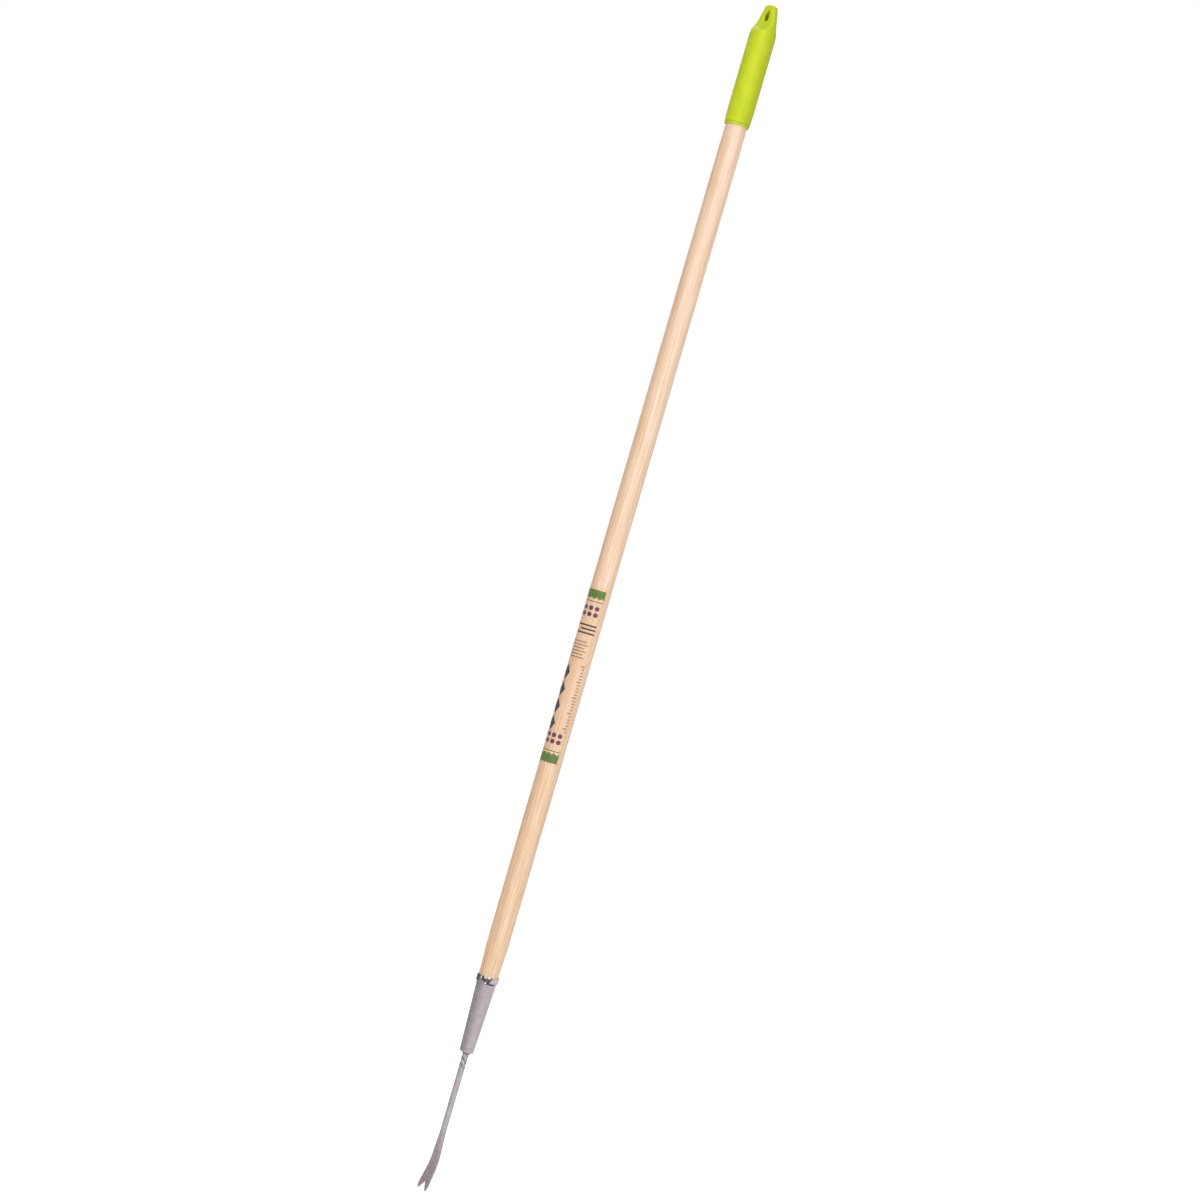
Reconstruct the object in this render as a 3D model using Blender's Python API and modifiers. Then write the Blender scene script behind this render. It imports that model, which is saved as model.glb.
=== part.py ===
# A long-handled weeder: a round wooden shaft with a soft grip pulled over its top and, at its lower end,
# a tapered steel socket that carries a rod forged out into a bent, notched fork.
#
# The tool hangs upright. The origin is the centre of the hang slot in the grip's tongue, +Z runs up along
# the shaft, and the fork bends towards -Y, which is the tool's front. Lengths are in metres.

import math

import bmesh
import bpy
from mathutils import Matrix, Vector

MM = 0.001

# Points nearer than this are one point
MERGE = 0.001 * MM

# Lengths down the tool, from the grip's tip to the prongs
GRIP_LENGTH = 157 * MM
SHAFT_SHOWN = 1098.5 * MM
SOCKET_LENGTH = 98.5 * MM
ROD_SHOWN = 106 * MM
BLADE_LENGTH = 73.5 * MM

# Clearance between neighbouring pieces
FIT_GAP = 0.3 * MM

# Wooden shaft
SHAFT_DIAMETER = 28 * MM
SHAFT_TAPER_RUN = 32 * MM
SHAFT_NECK_CUT = 1.3 * MM
SHAFT_END_CHAMFER = 2 * MM

# Grip: a sleeve with a thin lip at its open end, whose closed end is drawn down into a flat tongue
GRIP_WALL = 2.45 * MM
GRIP_OPEN_END_TUCK = 0.4 * MM
GRIP_TUCK_RUN = 25 * MM
GRIP_LIP = 0.4 * MM
GRIP_LIP_RUN = 6 * MM
GRIP_SHOULDER_DROP = 38 * MM
GRIP_SHOULDER_ROUND = 5 * MM
GRIP_CLOSED_END = 47 * MM
TONGUE_TIP_HALF_WIDTH = 8 * MM
TONGUE_TIP_DEPTH = 4.5 * MM
TONGUE_THICKNESS = 9 * MM
TONGUE_FLAT_LENGTH = 24 * MM
SCOOP_LENGTH = 22 * MM
SCOOP_RUN_OUT = 1.5 * MM

# Hang slot through the tongue, front to back
SLOT_LENGTH = 13.2 * MM
SLOT_WIDTH = 5.6 * MM
SLOT_DROP = 15 * MM

# Film label round the front of the shaft
LABEL_DROP = 597 * MM
LABEL_LENGTH = 229 * MM
LABEL_THICKNESS = 0.2 * MM
LABEL_WRAP = math.radians(160)

# Steel socket
MOUTH_WALL = 1.05 * MM
MOUTH_BAND = 7.8 * MM
MOUTH_FLARE = 13 * MM
MOUTH_STEP = 1.5 * MM
SOCKET_WALL = 1.1 * MM
SOCKET_END_DIAMETER = 18 * MM
SOCKET_EDGE_ROUND = 0.45 * MM

# Bush that closes the socket round the rod
BUSH_LENGTH = 10 * MM
BUSH_RECESS = 0.4 * MM
BUSH_CHAMFER = 0.6 * MM

# Screw that pins the socket to the shaft, turned away from the front
SCREW_TURN = math.radians(33)
SCREW_DROP = 5.6 * MM
SCREW_HEAD_DIAMETER = 6.4 * MM
SCREW_HEAD_HEIGHT = 1.9 * MM
SCREW_SHANK_DIAMETER = 3.2 * MM
SCREW_LENGTH = 13 * MM
SCREW_POINT = 3 * MM
RECESS_WIDTH = 0.8 * MM
RECESS_SPAN = 3.2 * MM
RECESS_DEPTH = 1.1 * MM
DIMPLE_DEPTH = 0.6 * MM
DIMPLE_SPREAD = 1.1 * MM

# Weld round the rod at the socket's end
WELD_HEIGHT = 2.6 * MM
WELD_SPREAD = 0.8 * MM
WELD_TOE = 0.25 * MM

# Fork: rod, blade and V-notch. The blade runs straight down, bends forward, and runs straight again.
ROD_DIAMETER = 8 * MM
ROD_STUB = 4 * MM
ROD_CHAMFER = 0.8 * MM
BLADE_WIDTH = 17.6 * MM
BLADE_THICKNESS = 2.6 * MM
BLADE_SQUARENESS = 5
BLADE_EARLY_SPREAD = 0.15
BLADE_THIN_POWER = 2.2
BLADE_STEPS = 22
CRANK_DROP = 28 * MM
CRANK_RADIUS = 70 * MM
CRANK_ANGLE = math.radians(17)
PRONG_DRAW_IN = 1.3 * MM
PRONG_DRAW_IN_RUN = 10 * MM
NOTCH_DEPTH = 11.5 * MM
NOTCH_OPENING = 11.6 * MM
NOTCH_ROUND = 1.4 * MM

# How finely round shapes are stepped
TURN_STEPS = 64
SMALL_TURN_STEPS = 40
CORNER_STEPS = 5
FORK_SIDES = 32

# How far a cutter runs on past what it cuts
OVERCUT = 6 * MM

# Heights that follow from the lengths
TIP_Z = SLOT_DROP
GRIP_END_Z = TIP_Z - GRIP_LENGTH
MOUTH_Z = GRIP_END_Z - SHAFT_SHOWN
SOCKET_END_Z = MOUTH_Z - SOCKET_LENGTH
BUSH_BOTTOM_Z = SOCKET_END_Z + BUSH_RECESS
BUSH_TOP_Z = BUSH_BOTTOM_Z + BUSH_LENGTH
ROD_TOP_Z = BUSH_TOP_Z + ROD_STUB
ROD_END_Z = SOCKET_END_Z - ROD_SHOWN
SHAFT_TOP_Z = TIP_Z - GRIP_CLOSED_END - FIT_GAP
SHAFT_BOTTOM_Z = ROD_TOP_Z + 2 * FIT_GAP

# Radii that follow from the shaft and the walls
SHAFT_RADIUS = SHAFT_DIAMETER / 2
SHAFT_NECK_RADIUS = SHAFT_RADIUS - SHAFT_NECK_CUT
GRIP_BORE_RADIUS = SHAFT_RADIUS + FIT_GAP
GRIP_RADIUS = GRIP_BORE_RADIUS + GRIP_WALL
MOUTH_BORE_RADIUS = SHAFT_NECK_RADIUS + FIT_GAP
MOUTH_RADIUS = MOUTH_BORE_RADIUS + MOUTH_WALL
CONE_TOP_RADIUS = MOUTH_RADIUS - MOUTH_STEP
CONE_END_RADIUS = SOCKET_END_DIAMETER / 2
ROD_RADIUS = ROD_DIAMETER / 2
ROD_HOLE_RADIUS = ROD_RADIUS + FIT_GAP

for old in list(bpy.data.objects):
    bpy.data.objects.remove(old, do_unlink=True)

parts = bpy.data.collections.new("long_handled_weeder")
cutters = bpy.data.collections.new("cutters")
bpy.context.scene.collection.children.link(parts)
bpy.context.scene.collection.children.link(cutters)


def finish(name, colour, roughness, metallic=0.0):
    made = bpy.data.materials.new(name)
    made.use_nodes = True
    shader = made.node_tree.nodes["Principled BSDF"]
    shader.inputs["Base Color"].default_value = (*colour, 1.0)
    shader.inputs["Roughness"].default_value = roughness
    shader.inputs["Metallic"].default_value = metallic
    made.diffuse_color = (*colour, 1.0)
    return made


def part(name, mesh, surface):
    made = bpy.data.objects.new(name, mesh)
    parts.objects.link(made)
    mesh.materials.append(surface)
    return made


def cutter(name, mesh, place):
    made = bpy.data.objects.new(name, mesh)
    cutters.objects.link(made)
    made.matrix_world = place
    made.hide_render = True
    made.display_type = "WIRE"
    return made


def cut(target, tool):
    modifier = target.modifiers.new(f"cut_{tool.name}", "BOOLEAN")
    modifier.operation = "DIFFERENCE"
    modifier.object = tool


# Points that round a corner: a smooth bend from `before` to `after`, pulled towards `at`.
def corner(before, at, after, steps=CORNER_STEPS):
    before, at, after = Vector(before), Vector(at), Vector(after)
    bend = []
    for step in range(steps + 1):
        u = step / steps
        bend.append(tuple(before * (1 - u) ** 2 + at * (2 * u * (1 - u)) + after * u**2))
    return bend


# A chamfered or rounded right-angled corner of a profile, from the direction `inward` to `onward`.
def edge(at, inward, onward, size, steps=CORNER_STEPS):
    at = Vector(at)
    return corner(at + Vector(inward) * size, at, at + Vector(onward) * size, steps)


# A mesh of edges only, from (radius, height) points, ready to be turned round Z.
def profile_mesh(name, profile, ring):
    mesh = bpy.data.meshes.new(name)
    count = len(profile)
    edges = [(i, (i + 1) % count) for i in range(count if ring else count - 1)]
    mesh.from_pydata([(radius, 0.0, height) for radius, height in profile], edges, [])
    return mesh


def turn(target, steps, angle=2 * math.pi):
    modifier = target.modifiers.new("turn", "SCREW")
    modifier.axis = "Z"
    modifier.angle = angle
    modifier.steps = steps
    modifier.render_steps = steps
    modifier.use_smooth_shade = True
    modifier.use_merge_vertices = angle == 2 * math.pi
    modifier.merge_threshold = MERGE


# A profile that starts and ends on the axis makes a solid; a ring is a closed profile round a bore.
def turned(name, profile, surface, ring=False, steps=TURN_STEPS):
    made = part(name, profile_mesh(name, profile, ring), surface)
    turn(made, steps)
    return made


# A closed flat outline, filled and given a depth, turned into a mesh that can cut.
def outline_cutter(name, outline, depth, place):
    curve = bpy.data.curves.new(name, "CURVE")
    curve.dimensions = "2D"
    curve.fill_mode = "BOTH"
    curve.extrude = depth / 2
    spline = curve.splines.new("POLY")
    spline.points.add(len(outline) - 1)
    for point, (x, y) in zip(spline.points, outline):
        point.co = (x, y, 0.0, 1.0)
    spline.use_cyclic_u = True
    flat = bpy.data.objects.new(name, curve)
    cutters.objects.link(flat)
    bpy.context.view_layer.update()
    graph = bpy.context.evaluated_depsgraph_get()
    mesh = bpy.data.meshes.new_from_object(flat.evaluated_get(graph))
    bpy.data.objects.remove(flat, do_unlink=True)
    bpy.data.curves.remove(curve)
    solid = bmesh.new()
    solid.from_mesh(mesh)
    bmesh.ops.remove_doubles(solid, verts=solid.verts, dist=MERGE)
    bmesh.ops.recalc_face_normals(solid, faces=solid.faces)
    solid.to_mesh(mesh)
    solid.free()
    return cutter(name, mesh, place)


# A drill: its inner end lies at the origin of `place`, and it widens evenly towards +Z.
def drill_cutter(name, inner_radius, outer_radius, length, place):
    mesh = bpy.data.meshes.new(name)
    solid = bmesh.new()
    bmesh.ops.create_cone(
        solid, cap_ends=True, segments=SMALL_TURN_STEPS, radius1=inner_radius, radius2=outer_radius,
        depth=length, matrix=Matrix.Translation((0.0, 0.0, length / 2)),
    )
    solid.to_mesh(mesh)
    solid.free()
    return cutter(name, mesh, place)


def box_cutter(name, size, place):
    mesh = bpy.data.meshes.new(name)
    solid = bmesh.new()
    bmesh.ops.create_cube(solid, size=1.0, matrix=Matrix.Diagonal((*size, 1.0)))
    solid.to_mesh(mesh)
    solid.free()
    return cutter(name, mesh, place)


# A placing matrix from the world directions that the local X and Y axes take.
def frame_at(origin, x_axis, y_axis):
    x_axis, y_axis = Vector(x_axis), Vector(y_axis)
    z_axis = x_axis.cross(y_axis)
    turn_to = Matrix((x_axis, y_axis, z_axis)).transposed().to_4x4()
    return Matrix.Translation(origin) @ turn_to


# The socket's outer radius below the flared mouth, which tapers evenly to the lower end.
def cone_radius(z):
    run = (MOUTH_Z - MOUTH_FLARE) - SOCKET_END_Z
    return CONE_END_RADIUS + (CONE_TOP_RADIUS - CONE_END_RADIUS) * (z - SOCKET_END_Z) / run


def cone_bore_radius(z):
    return cone_radius(z) - SOCKET_WALL


def make_shaft():
    top, bottom = SHAFT_TOP_Z, SHAFT_BOTTOM_Z
    neck_top = MOUTH_Z + SHAFT_TAPER_RUN
    flare_foot = MOUTH_Z - MOUTH_FLARE
    foot_radius = cone_bore_radius(flare_foot) - FIT_GAP
    bottom_radius = cone_bore_radius(bottom) - FIT_GAP
    profile = [(0.0, top)]
    profile += [(SHAFT_RADIUS - SHAFT_END_CHAMFER, top), (SHAFT_RADIUS, top - SHAFT_END_CHAMFER)]
    profile += corner(
        (SHAFT_RADIUS, neck_top),
        (SHAFT_RADIUS, neck_top - SHAFT_TAPER_RUN / 3),
        (SHAFT_NECK_RADIUS, MOUTH_Z),
    )
    profile += [(foot_radius, flare_foot)]
    profile += [(bottom_radius, bottom + SHAFT_END_CHAMFER), (bottom_radius - SHAFT_END_CHAMFER, bottom)]
    profile += [(0.0, bottom)]
    return turned("shaft", profile, finish("varnished_ash", (0.80, 0.61, 0.40), 0.35))


# The scoop that flattens one side of the grip's top into the tongue's face. The outline is drawn as
# (distance out from the shaft's axis, height).
def scoop_outline():
    face = TONGUE_THICKNESS / 2
    flat_end = TIP_Z - TONGUE_FLAT_LENGTH
    steps = 2 * CORNER_STEPS
    outline = [(face, TIP_Z + OVERCUT), (face, flat_end)]
    for step in range(1, steps + 1):
        swell = (1 - math.cos(math.pi * step / steps)) / 2
        out = face + (GRIP_RADIUS + SCOOP_RUN_OUT - face) * swell
        outline.append((out, flat_end - SCOOP_LENGTH * step / steps))
    outline += [(GRIP_RADIUS + OVERCUT, flat_end - SCOOP_LENGTH), (GRIP_RADIUS + OVERCUT, TIP_Z + OVERCUT)]
    return outline


def slot_outline():
    radius = SLOT_WIDTH / 2
    straight = SLOT_LENGTH / 2 - radius
    outline = []
    for end in (1, -1):
        for step in range(2 * CORNER_STEPS + 1):
            angle = math.pi * step / (2 * CORNER_STEPS)
            outline.append((end * radius * math.cos(angle), end * (straight + radius * math.sin(angle))))
    return outline


def make_grip():
    shoulder = TIP_Z - GRIP_SHOULDER_DROP
    slope = (GRIP_RADIUS - TONGUE_TIP_HALF_WIDTH) / (GRIP_SHOULDER_DROP - TONGUE_TIP_DEPTH)
    tip_sweep = math.atan2(TONGUE_TIP_HALF_WIDTH, slope * TONGUE_TIP_DEPTH)
    tuck_radius = GRIP_RADIUS - GRIP_OPEN_END_TUCK
    profile = []
    for step in range(2 * CORNER_STEPS + 1):
        angle = tip_sweep * step / (2 * CORNER_STEPS)
        drop = TONGUE_TIP_DEPTH * (1 - math.cos(angle))
        profile.append((TONGUE_TIP_HALF_WIDTH * math.sin(angle), TIP_Z - drop))
    profile += corner(
        (GRIP_RADIUS - slope * GRIP_SHOULDER_ROUND, shoulder + GRIP_SHOULDER_ROUND),
        (GRIP_RADIUS, shoulder),
        (GRIP_RADIUS, shoulder - GRIP_SHOULDER_ROUND),
    )
    profile += [(GRIP_RADIUS, GRIP_END_Z + GRIP_TUCK_RUN)]
    profile += corner(
        (tuck_radius, GRIP_END_Z + GRIP_LIP_RUN),
        (tuck_radius, GRIP_END_Z),
        (GRIP_BORE_RADIUS + GRIP_LIP, GRIP_END_Z),
    )
    profile += [(GRIP_BORE_RADIUS, GRIP_END_Z), (GRIP_BORE_RADIUS, TIP_Z - GRIP_CLOSED_END)]
    profile += [(0.0, TIP_Z - GRIP_CLOSED_END)]
    grip = turned("grip", profile, finish("lime_soft_plastic", (0.56, 0.71, 0.03), 0.45))
    wide = 2 * (GRIP_RADIUS + OVERCUT)
    for side, front in (("front", -1), ("back", 1)):
        outline = [(front * out, height) for out, height in scoop_outline()]
        cut(grip, outline_cutter(f"{side}_scoop", outline, wide, frame_at((0, 0, 0), (0, 1, 0), (0, 0, 1))))
    slot_place = frame_at((0, 0, 0), (1, 0, 0), (0, 0, 1))
    cut(grip, outline_cutter("hang_slot", slot_outline(), TONGUE_THICKNESS + 2 * OVERCUT, slot_place))
    return grip


def make_label():
    radius = SHAFT_RADIUS + FIT_GAP
    top = GRIP_END_Z - LABEL_DROP
    mesh = profile_mesh("shaft_label", [(radius, top), (radius, top - LABEL_LENGTH)], ring=False)
    label = part("shaft_label", mesh, finish("clear_film", (0.86, 0.80, 0.66), 0.2))
    turn(label, TURN_STEPS // 2, LABEL_WRAP)
    label.rotation_euler.z = -math.pi / 2 - LABEL_WRAP / 2
    film = label.modifiers.new("film", "SOLIDIFY")
    film.thickness = LABEL_THICKNESS
    film.offset = 1.0
    return label


# Where the fixing screw sits: a frame on the mouth band's surface whose Z axis points out of the tool.
def screw_frame(distance_out):
    outward = Vector((math.sin(SCREW_TURN), -math.cos(SCREW_TURN), 0.0))
    sideways = Vector((math.cos(SCREW_TURN), math.sin(SCREW_TURN), 0.0))
    origin = outward * distance_out + Vector((0.0, 0.0, MOUTH_Z - SCREW_DROP))
    return frame_at(origin, sideways, outward.cross(sideways))


def make_socket(surface):
    flare_foot = MOUTH_Z - MOUTH_FLARE
    outer = edge((MOUTH_RADIUS, MOUTH_Z), (-1, 0), (0, -1), SOCKET_EDGE_ROUND)
    outer += corner(
        (MOUTH_RADIUS, MOUTH_Z - MOUTH_BAND),
        (cone_radius(flare_foot), MOUTH_Z - MOUTH_BAND),
        (cone_radius(flare_foot), flare_foot),
    )
    outer += edge((CONE_END_RADIUS, SOCKET_END_Z), (0, 1), (-1, 0), SOCKET_EDGE_ROUND)
    bore = [
        (cone_bore_radius(SOCKET_END_Z), SOCKET_END_Z),
        (cone_bore_radius(flare_foot), flare_foot),
        (MOUTH_BORE_RADIUS, MOUTH_Z),
    ]
    socket = turned("socket", outer + bore, surface, ring=True)
    floor_radius = SCREW_HEAD_DIAMETER / 2 + FIT_GAP
    depth = 3 * DIMPLE_DEPTH
    rim_radius = floor_radius + DIMPLE_SPREAD * depth / DIMPLE_DEPTH
    dimple_at = screw_frame(MOUTH_RADIUS - DIMPLE_DEPTH)
    cut(socket, drill_cutter("screw_dimple", floor_radius, rim_radius, depth, dimple_at))
    return socket


def make_bush(surface):
    top_radius = cone_bore_radius(BUSH_TOP_Z) - FIT_GAP
    bottom_radius = cone_bore_radius(BUSH_BOTTOM_Z) - FIT_GAP
    profile = [
        (top_radius - BUSH_CHAMFER, BUSH_TOP_Z),
        (top_radius, BUSH_TOP_Z - BUSH_CHAMFER),
        (bottom_radius, BUSH_BOTTOM_Z),
        (ROD_HOLE_RADIUS, BUSH_BOTTOM_Z),
        (ROD_HOLE_RADIUS, BUSH_TOP_Z - BUSH_CHAMFER),
        (ROD_HOLE_RADIUS + BUSH_CHAMFER, BUSH_TOP_Z),
    ]
    return turned("socket_bush", profile, surface, ring=True, steps=SMALL_TURN_STEPS)


def make_weld(surface):
    top = SOCKET_END_Z - FIT_GAP
    spread = ROD_HOLE_RADIUS + WELD_SPREAD
    toe = ROD_HOLE_RADIUS + WELD_TOE
    outer = corner((spread, top), (spread - WELD_SPREAD / 3, top - WELD_HEIGHT / 2), (toe, top - WELD_HEIGHT))
    profile = outer + [(ROD_HOLE_RADIUS, top - WELD_HEIGHT), (ROD_HOLE_RADIUS, top)]
    return turned("weld_bead", profile, surface, ring=True, steps=SMALL_TURN_STEPS)


def make_screw(socket, shaft):
    head = SCREW_HEAD_DIAMETER / 2
    shank = SCREW_SHANK_DIAMETER / 2
    seat = MOUTH_RADIUS - DIMPLE_DEPTH + FIT_GAP
    profile = corner((0.0, SCREW_HEAD_HEIGHT), (head, SCREW_HEAD_HEIGHT), (head, SCREW_HEAD_HEIGHT / 4))
    profile += [(head, 0.0), (shank, 0.0), (shank, SCREW_POINT - SCREW_LENGTH), (0.0, -SCREW_LENGTH)]
    screw = turned("socket_screw", profile, finish("bright_screw_steel", (0.62, 0.60, 0.60), 0.3, 1.0),
                   steps=SMALL_TURN_STEPS)
    screw.matrix_world = screw_frame(seat)
    recess_at = screw_frame(seat + SCREW_HEAD_HEIGHT)
    for name, size in (
        ("recess_across", (RECESS_SPAN, RECESS_WIDTH, 2 * RECESS_DEPTH)),
        ("recess_down", (RECESS_WIDTH, RECESS_SPAN, 2 * RECESS_DEPTH)),
    ):
        cut(screw, box_cutter(name, size, recess_at))
    hole_radius = shank + FIT_GAP
    hole_floor = screw_frame(seat - SCREW_LENGTH - FIT_GAP)
    hole = drill_cutter("screw_hole", hole_radius, hole_radius, SCREW_LENGTH + OVERCUT, hole_floor)
    cut(socket, hole)
    cut(shaft, hole)
    return screw


# A point on the fork's middle line and its tilt forward, at a distance below the end of the round rod.
def fork_line(distance):
    bend_length = CRANK_RADIUS * CRANK_ANGLE
    tilt = min(max(0.0, distance - CRANK_DROP), bend_length) / CRANK_RADIUS
    onward = max(0.0, distance - CRANK_DROP - bend_length)
    forward = CRANK_RADIUS * (1 - math.cos(tilt)) + onward * math.sin(tilt)
    down = min(distance, CRANK_DROP) + CRANK_RADIUS * math.sin(tilt) + onward * math.cos(tilt)
    return Vector((0.0, -forward, ROD_END_Z - down)), tilt


# Width, thickness and squareness of the fork's section at a share of the blade's length.
def fork_section(share, distance):
    widening = share + BLADE_EARLY_SPREAD * share * (1 - share)
    thinning = 1 - (1 - share) ** BLADE_THIN_POWER
    tip_share = max(0.0, 1 - (BLADE_LENGTH - distance) / PRONG_DRAW_IN_RUN)
    width = ROD_DIAMETER + (BLADE_WIDTH - ROD_DIAMETER) * widening - 2 * PRONG_DRAW_IN * tip_share**2
    thickness = ROD_DIAMETER + (BLADE_THICKNESS - ROD_DIAMETER) * thinning
    return width, thickness, 2 + (BLADE_SQUARENESS - 2) * thinning


def section_ring(centre, tilt, width, thickness, squareness):
    across = Vector((1.0, 0.0, 0.0))
    through = Vector((0.0, math.cos(tilt), -math.sin(tilt)))
    power = 2 / squareness
    ring = []
    for side in range(FORK_SIDES):
        angle = 2 * math.pi * (side + 0.5) / FORK_SIDES
        c, s = math.cos(angle), math.sin(angle)
        x = math.copysign(abs(c) ** power, c) * width / 2
        y = math.copysign(abs(s) ** power, s) * thickness / 2
        ring.append(centre + across * x + through * y)
    return ring


# The rod and blade are one forging, so one skin runs from the round section to the flat one.
def make_fork(surface):
    rod_length = ROD_TOP_Z - ROD_END_Z
    rings = []
    for distance, diameter in (
        (-rod_length, ROD_DIAMETER - 2 * ROD_CHAMFER),
        (ROD_CHAMFER - rod_length, ROD_DIAMETER),
    ):
        centre = Vector((0.0, 0.0, ROD_END_Z - distance))
        rings.append(section_ring(centre, 0.0, diameter, diameter, 2.0))
    for step in range(BLADE_STEPS + 1):
        distance = BLADE_LENGTH * step / BLADE_STEPS
        centre, tilt = fork_line(distance)
        rings.append(section_ring(centre, tilt, *fork_section(step / BLADE_STEPS, distance)))
    mesh = bpy.data.meshes.new("fork")
    solid = bmesh.new()
    verts = [[solid.verts.new(point) for point in ring] for ring in rings]
    for upper, lower in zip(verts, verts[1:]):
        for side in range(FORK_SIDES):
            after = (side + 1) % FORK_SIDES
            solid.faces.new((upper[side], lower[side], lower[after], upper[after]))
    solid.faces.new(verts[0])
    solid.faces.new(reversed(verts[-1]))
    bmesh.ops.recalc_face_normals(solid, faces=solid.faces)
    solid.to_mesh(mesh)
    solid.free()
    mesh.shade_smooth()
    mesh.set_sharp_from_angle(angle=math.radians(35))
    fork = part("fork", mesh, surface)
    cut(fork, notch_cutter())
    return fork


# The V between the prongs, drawn as (across, up the blade) from the middle of the blade's end.
def notch_cutter():
    half = NOTCH_OPENING / 2
    lean = half / NOTCH_DEPTH
    below = OVERCUT
    outline = [(half + lean * below, -below)]
    outline += corner(
        (lean * NOTCH_ROUND, NOTCH_DEPTH - NOTCH_ROUND),
        (0.0, NOTCH_DEPTH),
        (-lean * NOTCH_ROUND, NOTCH_DEPTH - NOTCH_ROUND),
    )
    outline.append((-half - lean * below, -below))
    tip, tilt = fork_line(BLADE_LENGTH)
    up_blade = Vector((0.0, math.sin(tilt), math.cos(tilt)))
    place = frame_at(tip, (1.0, 0.0, 0.0), up_blade)
    return outline_cutter("prong_notch", outline, 2 * (BLADE_THICKNESS + OVERCUT), place)


grey_paint = finish("grey_metal_paint", (0.43, 0.38, 0.40), 0.4, 0.4)
bare_steel = finish("plain_steel", (0.35, 0.34, 0.34), 0.45, 1.0)

shaft = make_shaft()
make_grip()
make_label()
socket = make_socket(grey_paint)
make_bush(bare_steel)
make_screw(socket, shaft)
make_weld(grey_paint)
make_fork(grey_paint)
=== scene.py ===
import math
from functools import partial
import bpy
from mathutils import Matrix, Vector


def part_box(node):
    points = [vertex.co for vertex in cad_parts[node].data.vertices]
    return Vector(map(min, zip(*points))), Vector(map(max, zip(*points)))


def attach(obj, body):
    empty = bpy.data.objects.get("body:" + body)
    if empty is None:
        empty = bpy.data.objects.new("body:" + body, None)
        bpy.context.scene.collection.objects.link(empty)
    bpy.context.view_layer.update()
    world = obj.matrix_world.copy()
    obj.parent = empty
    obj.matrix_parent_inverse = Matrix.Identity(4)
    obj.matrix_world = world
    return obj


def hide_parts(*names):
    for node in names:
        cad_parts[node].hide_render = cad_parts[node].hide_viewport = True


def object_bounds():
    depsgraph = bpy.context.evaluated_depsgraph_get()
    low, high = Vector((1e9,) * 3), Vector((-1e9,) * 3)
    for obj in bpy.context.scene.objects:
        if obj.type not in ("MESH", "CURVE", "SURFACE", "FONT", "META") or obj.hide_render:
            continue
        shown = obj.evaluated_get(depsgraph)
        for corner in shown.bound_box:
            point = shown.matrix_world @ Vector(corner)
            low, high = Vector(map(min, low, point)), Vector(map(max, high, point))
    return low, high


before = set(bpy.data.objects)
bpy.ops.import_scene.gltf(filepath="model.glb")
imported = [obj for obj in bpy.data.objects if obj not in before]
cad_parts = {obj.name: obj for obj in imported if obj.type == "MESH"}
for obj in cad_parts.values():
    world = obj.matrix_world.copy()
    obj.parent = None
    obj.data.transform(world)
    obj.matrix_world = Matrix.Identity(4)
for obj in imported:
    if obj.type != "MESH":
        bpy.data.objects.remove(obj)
cadLow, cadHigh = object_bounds()

# The looks of a long-handled weeder: soft lime grip, varnished ash shaft with a film label, grey painted
# socket with its screw, and a forged fork. It hangs upright from the slot in its grip, front towards -Y.

from types import SimpleNamespace as Values

import bmesh
import bpy
import numpy as np
from mathutils import Matrix, Vector, noise

mm = 0.001
speck = 0.001 * mm  # points nearer than this are one point
scene = bpy.context.scene
print("frame loaded with", len(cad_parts), "nodes")

# Places on the tool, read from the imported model
gripLow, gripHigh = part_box("grip")
shaftLow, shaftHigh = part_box("shaft")
labelLow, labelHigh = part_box("shaft_label")
socketLow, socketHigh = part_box("socket")
weldLow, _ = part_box("weld_bead")
forkLow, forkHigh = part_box("fork")
tipZ, gripEndZ, gripRadius = gripHigh.z, gripLow.z, gripHigh.x
shaftRadius = shaftHigh.x
mouthZ, socketEndZ, mouthRadius = socketHigh.z, socketLow.z, socketHigh.x
middleZ = (cadLow.z + cadHigh.z) / 2

viewAzimuth = math.radians(38)  # the photograph looks at the tool from this side of its front
up = Vector((0, 0, 1))


# The level way out from the shaft's axis at a turn from its front
def outward(turn):
    return Vector((math.sin(turn), -math.cos(turn), 0))


# sRGB hex to the linear values that a shader reads
def hexColour(code):
    channels = [int(code[i:i + 2], 16) / 255 for i in (0, 2, 4)]
    linear = [c / 12.92 if c <= 0.04045 else ((c + 0.055) / 1.055) ** 2.4 for c in channels]
    return (*linear, 1.0)


# A pattern's scale from the real size of one of its spots, given in millimetres
def spot(size):
    return 1 / (size * mm)


# Sets a node up. Each setting names an input in use, by name or by number, or else a property. An input
# takes a value, a hex colour, an output, or a node that stands for its first output in use. From and To
# take both ends of a range.
def setUp(node, settings):
    for name, value in settings.items():
        if name in ("From", "To"):
            setUp(node, {name + " Min": value[0], name + " Max": value[1]})
            continue
        inputs = [each for i, each in enumerate(node.inputs) if name in (i, each.name) and each.enabled]
        if isinstance(value, bpy.types.Node):
            value = next(each for each in value.outputs if each.enabled)
        if not inputs:
            setattr(node, name, value)
        elif isinstance(value, bpy.types.NodeSocket):
            node.id_data.links.new(value, inputs[0])
        else:
            inputs[0].default_value = hexColour(value) if isinstance(value, str) else value


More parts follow.
